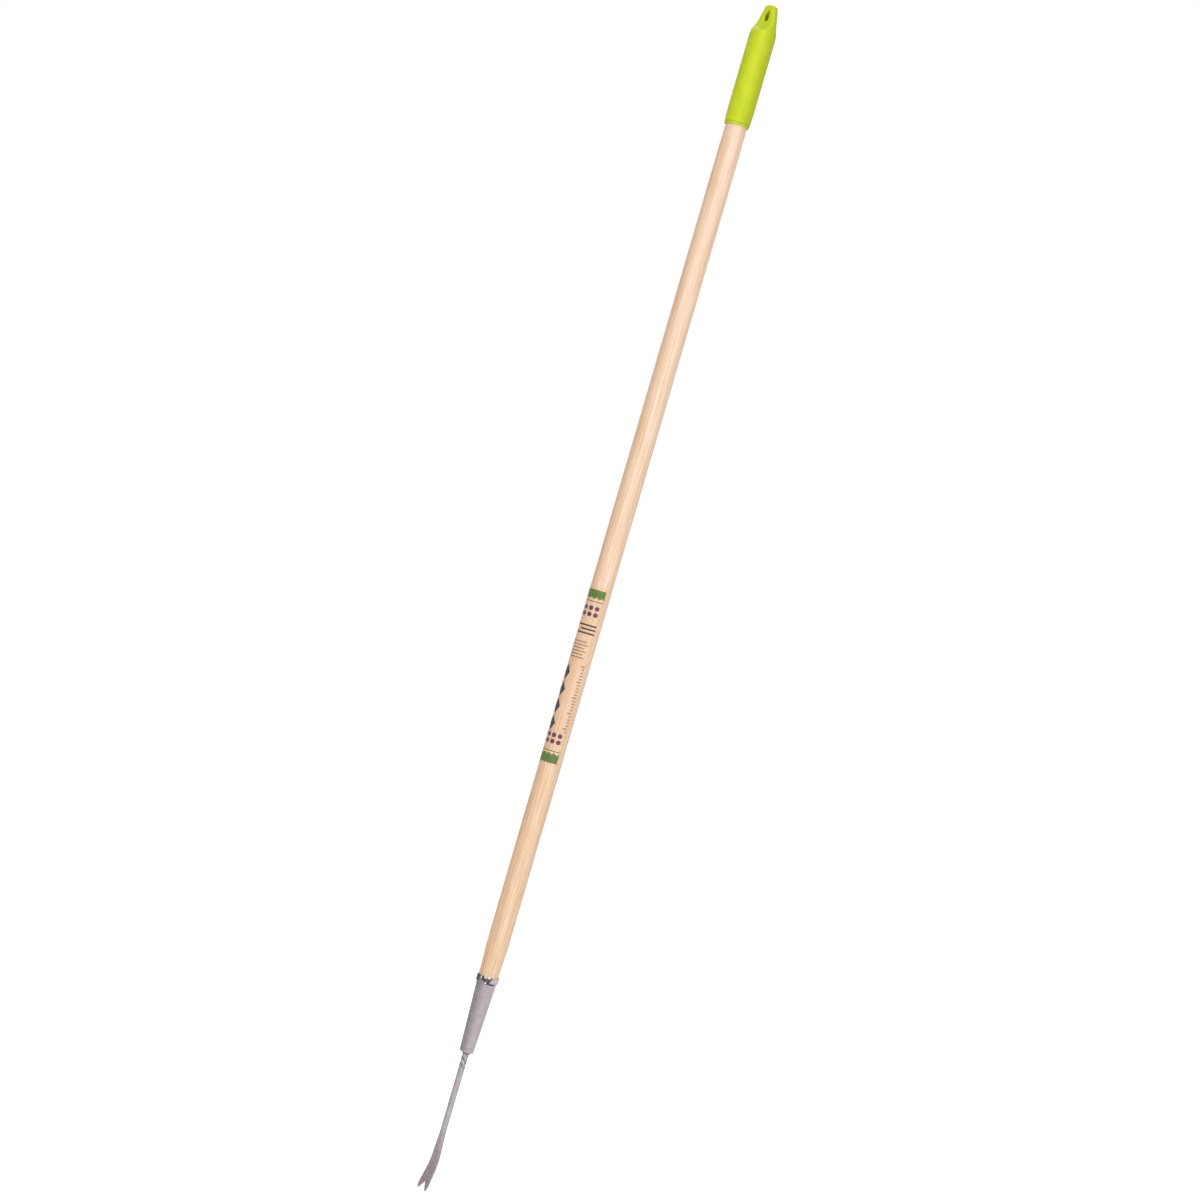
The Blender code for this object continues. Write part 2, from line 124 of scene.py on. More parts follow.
# Adds a node with its settings and links. Its operation, or a mix node's data type, follows the kind after
# a dot. Stops colour a ramp.
def addNode(tree, kind, settings=None, stops=None):
    kind, _, operation = kind.partition(".")
    node = tree.nodes.new("ShaderNode" + kind)
    if operation:
        setattr(node, "data_type" if kind == "Mix" else "operation", operation)
    setUp(node, settings or {})
    if stops:
        ramp = node.color_ramp.elements
        while len(ramp) < len(stops):
            ramp.new(0.5)
        for element, (position, colour) in zip(ramp, stops):
            element.position, element.color = position, hexColour(colour)
    return node


# Blends a second colour into a first by a share
def mix(add, share, first, second, how="MIX"):
    return add("Mix.RGBA", {"blend_type": how, "Factor": share, "A": first, "B": second})


# Carries a value from one range onto another, and holds it at the ends
def remap(add, value, reach=(0.0, 1.0), onto=(0.0, 1.0)):
    return add("MapRange", {"Value": value, "From": reach, "To": onto})


# Noise with spots of a real size in millimetres, one for every way or one for each axis
def mottle(add, place, size, detail=2.0):
    if not isinstance(size, tuple):
        return add("TexNoise", {"Vector": place, "Scale": spot(size), "Detail": detail})
    stretched = add("Mapping", {"Vector": place, "Scale": tuple(spot(s) for s in size)})
    return add("TexNoise", {"Vector": stretched, "Scale": 1.0, "Detail": detail})


# A bump in the surface, its depth in millimetres
def emboss(add, height, strength, depth):
    return add("Bump", {"Height": height, "Strength": strength, "Distance": depth * mm})


# Starts a material. With it come the function that adds nodes to it, its shader, and the place being shaded.
def startMaterial(name, settings):
    material = bpy.data.materials.new(name)
    material.use_nodes = True
    tree = material.node_tree
    add = partial(addNode, tree)
    tree.nodes.clear()
    shader = add("BsdfPrincipled", settings)
    add("OutputMaterial", {"Surface": shader})
    return material, add, shader, add("TexCoord").outputs["Object"]


# How far a surface faces one way round the shaft, from 0 at the start cosine to 1 at the end one
def facingShare(add, turn, start, end):
    normal = add("TexCoord").outputs["Normal"]
    facing = add("VectorMath.DOT_PRODUCT", {0: normal, 1: outward(turn)})
    return remap(add, facing, (start, end))


def smoothStep(low, high, value):
    share = np.clip((value - low) / (high - low), 0, 1)
    return share * share * (3 - 2 * share)


# A rounded hump, 1 at its middle and nothing well beyond its width
def hump(away, width):
    return np.exp(-((away / width) ** 2))


# The lesser of two values, with the corner between them rounded
def softLesser(first, second, softness):
    overlap = np.clip(softness - np.abs(first - second), 0, None)
    return np.minimum(first, second) - overlap**2 / (4 * np.maximum(softness, speck))


# A smooth bend from one point to another, pulled towards the corner between them
def bend(before, corner, after, steps=10):
    shares = np.linspace(0, 1, steps + 1)[:, None]
    before, corner, after = (np.array(point, float) for point in (before, corner, after))
    return before * (1 - shares) ** 2 + corner * 2 * shares * (1 - shares) + after * shares**2


# Points along a profile, evenly spaced
def evenly(points, spacing):
    points = np.array(points, float)
    along = np.concatenate([[0], np.cumsum(np.hypot(*np.diff(points, axis=0).T))])
    stations = np.linspace(0, along[-1], max(2, math.ceil(along[-1] / spacing) + 1))
    return np.stack([np.interp(stations, along, points[:, axis]) for axis in (0, 1)], 1)


# Turns radii and heights into points round the shaft's axis
def roundAxis(radius, height, turn):
    radius, height, turn = np.broadcast_arrays(radius, height, turn)
    return np.stack([radius * np.cos(turn), radius * np.sin(turn), height], -1)


def turns(count):
    return np.linspace(0, 2 * math.pi, count, endpoint=False)[None, :]


# How far turns are from a middle one, either way round
def turnFrom(turn, middle):
    return np.arctan2(np.sin(turn - middle), np.cos(turn - middle))


# Does some work on a mesh with bmesh
def rework(mesh, work):
    solid = bmesh.new()
    solid.from_mesh(mesh)
    work(solid)
    solid.to_mesh(mesh)
    solid.free()


def soften(mesh, sharp=40):
    mesh.shade_smooth()
    mesh.set_sharp_from_angle(angle=math.radians(sharp))


# A skin over rows of points. Every row closes on itself; rows that shrink to a point close an end.
def skin(name, points, closed=False, sharp=40):
    rows, columns = points.shape[:2]
    index = np.arange(rows * columns).reshape(rows, columns)
    upper, lower = (index, np.roll(index, -1, 0)) if closed else (index[:-1], index[1:])
    faces = np.stack([upper, lower, np.roll(lower, -1, 1), np.roll(upper, -1, 1)], -1)
    mesh = bpy.data.meshes.new(name)
    mesh.from_pydata(points.reshape(-1, 3).tolist(), [], faces.reshape(-1, 4).tolist())
    rework(mesh, lambda solid: bmesh.ops.remove_doubles(solid, verts=solid.verts, dist=speck))
    rework(mesh, lambda solid: bmesh.ops.recalc_face_normals(solid, faces=solid.faces))
    soften(mesh, sharp)
    return mesh


# Adds a row to each end of rows of points that closes it with a point in its middle. An end with no height
# is closed already.
def capped(rows):
    ends = [np.broadcast_to(row.mean(0), row.shape) if np.ptp(row[:, 2]) > speck else row
            for row in (rows[0], rows[-1])]
    return np.concatenate([ends[:1], rows, ends[1:]])


# Puts a mesh, lamp or camera into the scene
def addObject(data):
    thing = bpy.data.objects.new(data.name, data)
    scene.collection.objects.link(thing)
    return thing


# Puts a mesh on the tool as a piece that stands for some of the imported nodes
def addPiece(mesh, material, slot, *nodes):
    piece = addObject(mesh)
    mesh.materials.append(material)
    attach(piece, "root")
    if nodes:
        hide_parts(*nodes)
    return piece


# Cuts the shape of a tool mesh out of a piece
def carve(piece, toolMesh, sharp=40):
    tool = addObject(toolMesh)
    bite = piece.modifiers.new("bite", "BOOLEAN")
    bite.operation = "DIFFERENCE"
    bite.object = tool
    bpy.context.view_layer.update()
    carved = bpy.data.meshes.new_from_object(piece.evaluated_get(bpy.context.evaluated_depsgraph_get()))
    rework(carved, lambda solid: bmesh.ops.dissolve_degenerate(solid, edges=solid.edges, dist=speck))
    piece.modifiers.clear()
    carved.name = piece.data.name
    piece.data = carved
    bpy.data.objects.remove(tool)
    soften(carved, sharp)


# Soft lime grip

grip = Values(
    tipHalfWidth=8.2 * mm, tipDepth=4.5 * mm, shoulderDrop=38 * mm, shoulderRound=5 * mm, closedEnd=47 * mm,
    tongueThickness=9 * mm, flatLength=22.5 * mm, scoopLength=23 * mm, scoopRunOut=3.2 * mm,
    edgeSoftness=3.2 * mm, slotLength=13.2 * mm, slotWidth=5.6 * mm, slotRim=0.9 * mm,
    slotRimBend=1.35,  # how far the rim bends towards flat, in radians
    slotFlare=(3 * mm, 1.2 * mm),  # outwards past the faces, and sideways
    tongueLean=1.35 * mm, leanDrop=(35 * mm, 16 * mm), boreClearance=0.3 * mm, openEndTuck=0.4 * mm,
    tuckRun=25 * mm, lip=0.4 * mm, lipRun=7.5 * mm, lipInside=0.2 * mm, creaseRise=3.3 * mm,
    crease=0.25 * mm, creaseWidth=0.45 * mm, partingRidge=0.12 * mm, partingWidth=0.6 * mm,
    partingFade=(8 * mm, 2 * mm),  # below the tip and above the crease
    fineRows=0.5 * mm, barrelRows=1.5 * mm, lipRows=0.25 * mm, aroundSteps=240,
)
gripBoreRadius = shaftRadius + grip.boreClearance
gripCreaseZ = gripEndZ + grip.creaseRise


# Moulded soft vinyl: a satin lime skin with a fine pebble, painted shade in the slot, the lip's crease and
# one side
def mouldedSoftVinyl():
    look = Values(
        lime="d3de2a", limeDeep="c2d516", grime="9aa60c", creaseShade="8a961a",
        handled="e6e4da", handledTurn=math.radians(128), shine=0.28,
        clouds=16, pebble=0.55, drawMarks=(5, 5, 60), dirtDrop=1.4 * mm, dirtReach=5.6 * mm,
        dirtNarrowness=1.3, dirtEdge=(1.2, 0.95), dirtStart=0.1 * mm, dirtShine=0.02,
        creaseReach=(0.9 * mm, 0.2 * mm), satin=(0.42, 0.58),
    )
    material, add, shader, place = startMaterial("mouldedSoftVinyl", {
        "Metallic": 0.0, "IOR": 1.5, "Specular IOR Level": look.shine,
    })
    marks = mottle(add, place, look.drawMarks)
    clouds = mottle(add, place, look.clouds, 3.0)
    blend = add("Math.MULTIPLY_ADD", {0: marks, 1: 0.5, 2: clouds})
    lime = add("ValToRGB", {"Fac": blend}, stops=[(0.55, look.limeDeep), (0.95, look.lime)])

    # Painted shade on the slot's walls: near the slot as seen from the front, and well under the tongue's
    # faces
    axes = add("SeparateXYZ", {0: place})
    nearShare = look.dirtNarrowness / grip.slotWidth
    slotShare = add("Mapping", {
        "Vector": place, "Scale": (nearShare, 0.0, 1 / look.dirtReach),
        "Location": (-grip.tongueLean * nearShare, 0.0, look.dirtDrop / look.dirtReach),
    })
    slotReach = add("VectorMath.LENGTH", {0: slotShare})
    nearSlot = remap(add, slotReach, look.dirtEdge)
    depth = add("Math.ABSOLUTE", {0: axes.outputs["Y"]})
    face = grip.tongueThickness / 2
    under = remap(add, depth, (face - look.dirtStart, face - grip.slotRim))
    inSlot = add("Math.MULTIPLY", {0: nearSlot, 1: under})
    recessShade = mix(add, inSlot, lime, look.grime)
    matt = remap(add, inSlot, onto=(look.shine, look.dirtShine))

    # Painted shade in the crease above the lip
    fromCrease = add("Math.SUBTRACT", {0: axes.outputs["Z"], 1: gripCreaseZ})
    away = add("Math.ABSOLUTE", {0: fromCrease})
    inCrease = remap(add, away, look.creaseReach, (0.0, 0.6))
    shaded = mix(add, inCrease, recessShade, look.creaseShade)

    # Painted shade: one side of the grip is a shade deeper, as if turned from the light
    handled = mix(add, facingShare(add, look.handledTurn, 0.0, 0.95), shaded, look.handled, "MULTIPLY")
    sheen = remap(add, clouds, onto=look.satin)
    pebble = mottle(add, place, look.pebble)
    relief = emboss(add, pebble, 0.5, 0.05)
    setUp(shader, {"Base Color": handled, "Roughness": sheen, "Specular IOR Level": matt, "Normal": relief})
    return material


# The rubber of one side, from the shaft's middle plane out to the tongue's face, at a height
def scoopReach(height):
    face = grip.tongueThickness / 2
    below = (tipZ - grip.flatLength - height) / grip.scoopLength
    swell = (1 - np.cos(math.pi * np.clip(below, 0, 1))) / 2
    return face + (gripRadius + grip.scoopRunOut - face) * swell + np.where(below > 1, gripRadius, 0)


# The soft tongue stands a little to one side of the shaft's axis
def leanTongue(points):
    low, high = grip.leanDrop
    points[..., 0] += grip.tongueLean * smoothStep(tipZ - low, tipZ - high, points[..., 2])
    return points


def gripProfile():
    shoulderZ = tipZ - grip.shoulderDrop
    slope = (gripRadius - grip.tipHalfWidth) / (grip.shoulderDrop - grip.tipDepth)
    sweep = math.atan2(grip.tipHalfWidth, slope * grip.tipDepth)
    tuckRadius = gripRadius - grip.openEndTuck
    roundSize = grip.shoulderRound
    tip = [(grip.tipHalfWidth * math.sin(a), tipZ - grip.tipDepth * (1 - math.cos(a)))
           for a in np.linspace(0, sweep, 24)]
    shoulder = bend((gripRadius - slope * roundSize, shoulderZ + roundSize), (gripRadius, shoulderZ),
                    (gripRadius, shoulderZ - roundSize))
    closedZ = tipZ - grip.closedEnd
    fine = evenly([*tip, *shoulder, (gripRadius, closedZ)], grip.fineRows)
    lipTopZ = gripEndZ + grip.lipRun
    barrel = evenly([(gripRadius, closedZ), (gripRadius, gripEndZ + grip.tuckRun), (tuckRadius, lipTopZ)],
                    grip.barrelRows)
    lip = evenly(bend((tuckRadius, lipTopZ), (tuckRadius - grip.lip, gripEndZ + mm),
                      (gripBoreRadius + grip.lip, gripEndZ), 24), grip.lipRows)
    bore = [(gripBoreRadius, gripEndZ + grip.lipInside), (gripBoreRadius, closedZ), (0, closedZ)]
    outside = np.concatenate([fine[:-1], barrel[:-1], lip])
    return outside, np.array(bore)


def makeGrip():
    outside, bore = gripProfile()
    turn = turns(grip.aroundSteps)
    radius, height = outside[:, :1], outside[:, 1:]
    squeezed = softLesser(radius, scoopReach(height) / np.maximum(np.abs(np.sin(turn)), 1e-3),
                          np.minimum(grip.edgeSoftness, radius))
    crease = grip.crease * hump(height - gripCreaseZ, grip.creaseWidth)
    fromParting = np.abs(np.sin(turn)) * radius
    ridge = grip.partingRidge * hump(fromParting, grip.partingWidth)
    below, above = grip.partingFade
    ridge = ridge * smoothStep(tipZ, tipZ - below, height)
    ridge = ridge * smoothStep(gripCreaseZ, gripCreaseZ + above, height)
    outer = leanTongue(roundAxis(squeezed - crease + ridge, height, turn))
    inner = roundAxis(bore[:, :1], bore[:, 1:], turn)
    sleeve = addPiece(skin("gripSleeve", np.concatenate([outer, inner])), mouldedSoftVinyl(), "grip", "grip")
    carve(sleeve, slotTool(), 50)


# A stadium that cuts the hang slot and flares out at both faces, so that the slot's rims come out rounded
def slotTool():
    face, rim = grip.tongueThickness / 2, grip.slotRim
    bends = np.linspace(0, grip.slotRimBend, 9)
    straight = (grip.slotLength - grip.slotWidth) / 2
    outwards, sideways = grip.slotFlare
    depths = np.concatenate([face - rim + rim * np.sin(bends), [face + outwards]])
    spreads = rim * (1 - np.cos(bends))
    spreads = np.append(spreads, spreads[-1] + sideways)
    depths = np.concatenate([-depths[::-1], depths])
    spreads = np.concatenate([spreads[::-1], spreads])
    ring = turns(72)[0]
    rows = []
    for depth, spread in zip(depths, spreads):
        reach = grip.slotWidth / 2 + spread
        rows.append([(reach * math.cos(a), depth, math.copysign(straight, math.sin(a)) + reach * math.sin(a))
                     for a in ring])
    return skin("slotTool", capped(leanTongue(np.array(rows))))


# Varnished ash shaft

shaft = Values(
    taperRun=38 * mm, neckCut=1.25 * mm, endChamfer=2 * mm, fitGap=0.3 * mm, sanding=0.05 * mm,
    sandingFade=6 * mm,
    # Waves round the shaft, and their length down it in millimetres
    sandingWaves=((2, 61), (3, 37), (5, 23), (7, 47)), rows=5 * mm, aroundSteps=144,
)


# Turned ash under clear varnish: pale growth lines along the grain, open pores, and a soft wet gloss
def varnishedAsh():
    look = Values(
        earlyWood="e9c49e", lateWood="fbe3c8", lineEdge="dbb189", fibreDark="dcb087",
        pore="b58760", rosy="fbd8c6", honey="f3bd7c",
        heartSide="fff8ec", heartTurn=math.radians(-52),
        ringWidth=2.8 * mm, pithAway=(38 * mm, 24 * mm), pithLean=(0.02, 0.013), shake=12 * mm,
        streakPale="feeddf", streakDark="e6bc95", tintShare=0.36,
        wander=(24, 24, 210), streaks=(2.4, 2.4, 85), fibre=(0.5, 0.5, 26), pores=(0.3, 0.3, 5.5),
        clouds=(12, 12, 52),
    )
    material, add, shader, place = startMaterial("varnishedAsh", {
        "Metallic": 0.0, "IOR": 1.5, "Roughness": 0.5, "Specular IOR Level": 0.15,
        "Coat Weight": 0.55, "Coat Roughness": 0.14, "Coat IOR": 1.5,
    })

    # Growth rings: distance from the tree's own axis, which leans past the shaft, shaken by a slow wander
    wander = mottle(add, place, look.wander)
    centred = add("VectorMath.SUBTRACT", {0: wander.outputs["Color"], 1: (0.5, 0.5, 0.5)})
    shaken = add("VectorMath.MULTIPLY_ADD", {0: centred, 1: (look.shake, look.shake, 0), 2: place})
    leaning = add("Mapping", {"Vector": shaken, "Location": (*look.pithAway, 0),
                              "Rotation": (*look.pithLean, 0)})
    flat = add("VectorMath.MULTIPLY", {0: leaning, 1: (1, 1, 0)})
    fromPith = add("VectorMath.LENGTH", {0: flat})
    rings = add("Math.DIVIDE", {0: fromPith, 1: look.ringWidth})
    ring = add("Math.FRACT", {0: rings})
    grain = add("ValToRGB", {"Fac": ring}, stops=[
        (0.0, look.lineEdge), (0.1, look.earlyWood), (0.45, look.lateWood), (0.88, look.lateWood),
        (1.0, look.earlyWood),
    ])

    # Long streaks, some paler and some darker than the wood between them
    streaks = mottle(add, place, look.streaks)
    streaky = grain
    for colour, reach in ((look.streakPale, (0.53, 0.66)), (look.streakDark, (0.47, 0.34))):
        share = remap(add, streaks, reach, (0.0, 0.75))
        streaky = mix(add, share, streaky, colour)

    fibre = mottle(add, place, look.fibre, 3.0)
    fibreShare = remap(add, fibre, (0.42, 0.75), (0.0, 0.35))
    fibred = mix(add, fibreShare, streaky, look.fibreDark)

    # Pores open only in the early wood, just past each line
    pores = mottle(add, place, look.pores, 1.0)
    poreShape = remap(add, pores, (0.6, 0.68))
    early = remap(add, ring, (0.42, 0.12), (0.0, 0.6))
    poreShare = add("Math.MULTIPLY", {0: poreShape, 1: early})
    pored = mix(add, poreShare, fibred, look.pore)

    # Rosy near the grip, honey near the socket, with slow clouds between
    height = add("SeparateXYZ", {0: place}).outputs["Z"]
    clouds = mottle(add, place, look.clouds)
    downShaft = remap(add, height, (gripEndZ, mouthZ))
    cloudy = add("Math.MULTIPLY_ADD", {0: clouds, 1: 2.4, 2: downShaft})
    tint = remap(add, cloudy, (0.9, 2.5))
    cast = mix(add, tint, look.rosy, look.honey)
    tinted = mix(add, look.tintShare, pored, cast)

    # Painted shade: one side of the shaft is a shade deeper and warmer, as if turned from the light
    final = mix(add, facingShare(add, look.heartTurn, 0.1, 0.95), tinted, look.heartSide, "MULTIPLY")
    relief = add("Math.MULTIPLY_ADD", {0: poreShare, 1: -1.0, 2: fibre})
    bump = emboss(add, relief, 0.35, 0.03)
    setUp(shader, {"Base Color": final, "Normal": bump})
    return material


def makeShaft():
    top, bottom, chamfer = shaftHigh.z, shaftLow.z, shaft.endChamfer
    inside, neckTop = socket.wall + shaft.fitGap, mouthZ + shaft.taperRun
    neckZ = np.linspace(neckTop, mouthZ, 20)
    neck = np.stack([shaftRadius - shaft.neckCut * smoothStep(neckTop, mouthZ, neckZ), neckZ], 1)
    bottomRadius = coneRadius(bottom) - inside
    stretches = [
        np.array([(0, top), (shaftRadius - chamfer, top)]),
        evenly([(shaftRadius, top - chamfer), (shaftRadius, neckTop + 2 * mm)], shaft.rows),
        neck,
        np.array([(coneRadius(footZ) - inside, footZ), (bottomRadius, bottom + chamfer),
                  (bottomRadius - chamfer, bottom), (0, bottom)]),
    ]
    radius, height = np.hsplit(np.concatenate(stretches), 2)
    turn = turns(shaft.aroundSteps)

    # The belt sander leaves long, shallow flats that show only as a waver in the gloss
    fade = shaft.sandingFade
    shown = smoothStep(mouthZ, mouthZ + fade, height) * smoothStep(gripEndZ, gripEndZ - fade, height)
    waver = sum(np.sin(across * turn + height / (length * mm) + across) / across
                for across, length in shaft.sandingWaves)
    radius = np.broadcast_to(radius, waver.shape) - shaft.sanding * shown * (1 + waver) / 2
    addPiece(skin("ashShaft", roundAxis(radius, height, turn)), varnishedAsh(), "shaft", "shaft")


# Film label

label = Values(
    wrap=math.radians(160), filmInner=0.02 * mm, filmThickness=0.12 * mm, cornerRound=4 * mm,
    inkThickness=0.03 * mm, columnWidth=0.4 * mm, margin=17.2 * mm,
    # The print, in millimetres: across from the shaft's front, and down from the label's top
    bands=((4, 9, 1), (225.5, 10, -1)),  # drop of the straight edge, height, way the scallops point
    scallop=(7, 2.2), rules=(18.2, 210.3),
    discs=[(across, drop) for drop in (27, 35, 191, 199) for across in (-12.5, -4.5, 3.5, 11.5)],
    discRadius=2.9, ruleThickness=1,
    bars=((48, -13), (53, -3), (58, -8)),  # drop and left end; each runs to the right margin
    barThickness=2,
    lines=((70, 11), (74, 14), (78, 9), (82, 13), (86, 10), (90, 12)),  # drop and half length
    lineThickness=0.8, diamonds=((-6, 111), (-6, 133), (-6, 155), (-6, 177)), diamondSize=(6, 10),
    ticks=(100, 184, 4),  # first and last drop, and the step between
    tickLengths=(5.5, 3),
    inks={"Green": ("4c6a25", "6c8a3c"), "Plum": ("572c4b", "6c4360"), "Dark": ("2c201c", "43332b")},
    inkScreen=1.1,
)
labelTop, labelBottom = labelHigh.z, labelLow.z


# Columns of points from one side of a flat motif to the other, bent round the shaft as a thin solid.
# Across is the distance round the shaft from its front; low and high give the motif's edges there.
def wrapMotif(left, right, low, high, inner, outer):
    count = 2 * math.ceil((right - left) / label.columnWidth / 2) + 1
    across = left + (right - left) * (1 - np.cos(np.linspace(0, math.pi, count))) / 2
    lows = np.array([low(a) for a in across])
    highs = np.array([high(a) for a in across])
    turn = across / shaftRadius - math.pi / 2
    corners = [(inner, lows), (outer, lows), (outer, highs), (inner, highs)]
    rows = np.stack([roundAxis(radius, heights, turn) for radius, heights in corners], 1)
    return capped(rows)


def joinMotifs(name, motifs):
    mesh = bpy.data.meshes.new(name)
    for points in motifs:
        part = skin("motif", points, sharp=30)
        rework(mesh, lambda whole: whole.from_mesh(part))
        bpy.data.meshes.remove(part)
    soften(mesh, 30)
    return mesh


# Clear matt film: it lets the wood through and only takes the wet gloss off it
def clearMattFilm():
    look = Values(haze="fee6c6", haziness=0.16, ripple=9)
    material, add, shader, place = startMaterial("clearMattFilm", {
        "Base Color": look.haze, "Alpha": look.haziness,
        "Metallic": 0.0, "Roughness": 0.55, "IOR": 1.45,
    })
    ripple = mottle(add, place, look.ripple, 1.0)
    bump = emboss(add, ripple, 0.3, 0.05)
    setUp(shader, {"Normal": bump})
    return material


# Screen-printed ink: flat colour that thins a little from dot to dot
def printedInk(name, colour, thin):
    material, add, shader, place = startMaterial(name, {"Metallic": 0.0, "Roughness": 0.5, "IOR": 1.48})
    screen = mottle(add, place, label.inkScreen, 3.0)
    patchy = remap(add, screen, (0.35, 0.75))
    ink = mix(add, patchy, colour, thin)
    setUp(shader, {"Base Color": ink})
    return material


def makeLabel():
    filmInner = shaftRadius + label.filmInner
    filmOuter = filmInner + label.filmThickness
    half, margin, corner = label.wrap / 2 * shaftRadius, label.margin / mm, label.cornerRound

    def cornerDrop(across):
        into = max(0.0, abs(across) - (half - corner))
        return corner - math.sqrt(max(0.0, corner**2 - into**2))

    film = wrapMotif(-half, half, lambda a: labelBottom + cornerDrop(a), lambda a: labelTop - cornerDrop(a),
                     filmInner, filmOuter)
    addPiece(skin("labelFilm", film, sharp=30), clearMattFilm(), "label", "shaft_label")

    # Upper and lower give a motif's edges as drops below the label's top, in millimetres like its ends
    def ink(left, right, upper, lower):
        return wrapMotif(left * mm, right * mm, lambda a: labelTop - lower(a / mm) * mm,
                         lambda a: labelTop - upper(a / mm) * mm,
                         filmOuter - label.inkThickness / 2, filmOuter + label.inkThickness)

    def bar(left, right, drop, thickness):
        return ink(left, right, lambda a: drop, lambda a: drop + thickness)

    def band(drop, height, way):
        pitch, depth = label.scallop

        def scalloped(across):
            return drop + way * (height + depth * math.sin(math.pi * ((across / pitch) % 1)))

        edges = (lambda a: drop, scalloped)
        return ink(-margin, margin, *edges[::way])

    # A motif that reaches as far up as down from its middle, less or more with the way aside from it
    def mirrored(across, drop, half, reach):
        return ink(across - half, across + half,
                   lambda a: drop - reach(a - across), lambda a: drop + reach(a - across))

    def disc(across, drop):
        radius = label.discRadius
        return mirrored(across, drop, radius, lambda a: math.sqrt(max(0.0, radius**2 - a**2)))

    def diamond(across, drop):
        width, height = label.diamondSize
        return mirrored(across, drop, width, lambda a: height * max(0.0, 1 - abs(a) / width))

    first, last, step = label.ticks
    longTick, shortTick = label.tickLengths
    thin = label.lineThickness
    greens = [band(*each) for each in label.bands]
    greens += [bar(-margin, margin, drop, label.ruleThickness) for drop in label.rules]
    plums = [disc(*each) for each in label.discs]
    darks = [bar(left, margin, drop, label.barThickness) for drop, left in label.bars]
    darks += [bar(-reach, reach, drop, thin) for drop, reach in label.lines]
    darks += [diamond(*each) for each in label.diamonds]
    darks += [bar(margin - (shortTick if count % 5 else longTick), margin, drop, thin)
              for count, drop in enumerate(range(first, last + 1, step))]
    for hue, motifs in (("Green", greens), ("Plum", plums), ("Dark", darks)):
        film = printedInk(f"printed{hue}Ink", *label.inks[hue])
        addPiece(joinMotifs(f"label{hue}Print", motifs), film, "label")


# Painted steel socket

socket = Values(
    mouthBand=7.8 * mm, mouthFlare=13 * mm, mouthStep=1.5 * mm, mouthWall=1.05 * mm, wall=1.1 * mm,
    endRadius=9 * mm, edgeRound=0.45 * mm, rimSlant=0.3 * mm, seamHeight=0.25 * mm, seamWidth=1.6 * mm,
    creaseHeight=0.12 * mm,
    creaseDrop=4 * mm,  # below the foot of the flare
    creaseWidth=1 * mm, mouthRows=0.35 * mm, coneRows=2 * mm, aroundSteps=200,
)
screw = Values(
    turn=math.radians(33), drop=5.6 * mm, headDiameter=6.4 * mm, headHeight=1.9 * mm, brimShare=0.3,
    shankDiameter=3.2 * mm, length=13 * mm, point=3 * mm, recessWidth=0.9 * mm, recessSpan=3.4 * mm,
    recessDepth=1.1 * mm, recessTilt=0.2,
    recessRows=((1, 1.5, 1.25), (-1, 0.55, 0.5)),  # level in depths from the top, share of width, of span
    seatDepth=0.6 * mm, dimpleReach=5.2 * mm, burr=0.12 * mm, burrAway=0.4 * mm, burrWidth=0.5 * mm,
    clearance=0.3 * mm,
)
paintShadeTurn = math.radians(-50)
coneTopRadius = mouthRadius - socket.mouthStep
footZ = mouthZ - socket.mouthFlare  # where the flare ends
screwOut = outward(screw.turn)
screwPlace = screwOut * mouthRadius + up * (mouthZ - screw.drop)


# The socket's outer radius at a height below its flare
def coneRadius(height):
    run = footZ - socketEndZ
    return socket.endRadius + (coneTopRadius - socket.endRadius) * (height - socketEndZ) / run


paintShine = {"Specular IOR Level": 0.5, "Coat Weight": 0.25}
paintedShadeShine = {"Specular IOR Level": 0.1, "Coat Weight": 0.0}


# Grey stoving paint on steel: a satin, faintly pearly skin with orange peel, thin and chipped at its edges
def stovedGreyPaint(name, look):
    material, add, shader, place = startMaterial(name, {"IOR": 1.5, "Coat Roughness": 0.3, **paintShine})
    clouds = mottle(add, place, look.clouds, 4.0)
    paint = add("ValToRGB", {"Fac": clouds}, stops=[(0.3, look.paintDeep), (0.7, look.paint)])
    height = add("SeparateXYZ", {0: place}).outputs["Z"]

    # Worn steel: chips where the coarse noise is high, more of them towards the worn heights
    wornSpots = mottle(add, place, look.chips, 6.0)
    alongWear = remap(add, height, look.wornRun)
    wornness = add("ValToRGB", {"Fac": alongWear}, stops=look.wear)
    worn = add("Math.ADD", {0: wornSpots, 1: wornness})
    bare = remap(add, worn, look.chipEdge)
    steel = mix(add, bare, paint, look.steel)
    metal = remap(add, bare, onto=(0.15, 0.85))
    gloss = remap(add, bare, onto=(0.42, 0.34))

    # Painted shade: one side is darker, as if turned from the light
    soiled = add("Math.POWER", {0: facingShare(add, paintShadeTurn, -0.8, 0.9), 1: 2.0})
    steel = mix(add, soiled, steel, look.soiled, "MULTIPLY")
    peel = mottle(add, place, look.peel)
    step = add("Math.MULTIPLY_ADD", {0: bare, 1: -1.2, 2: peel})
    bump = emboss(add, step, 0.5, 0.08)
    setUp(shader, {"Base Color": steel, "Metallic": metal, "Roughness": gloss, "Normal": bump})
    return material, add, shader, place, steel
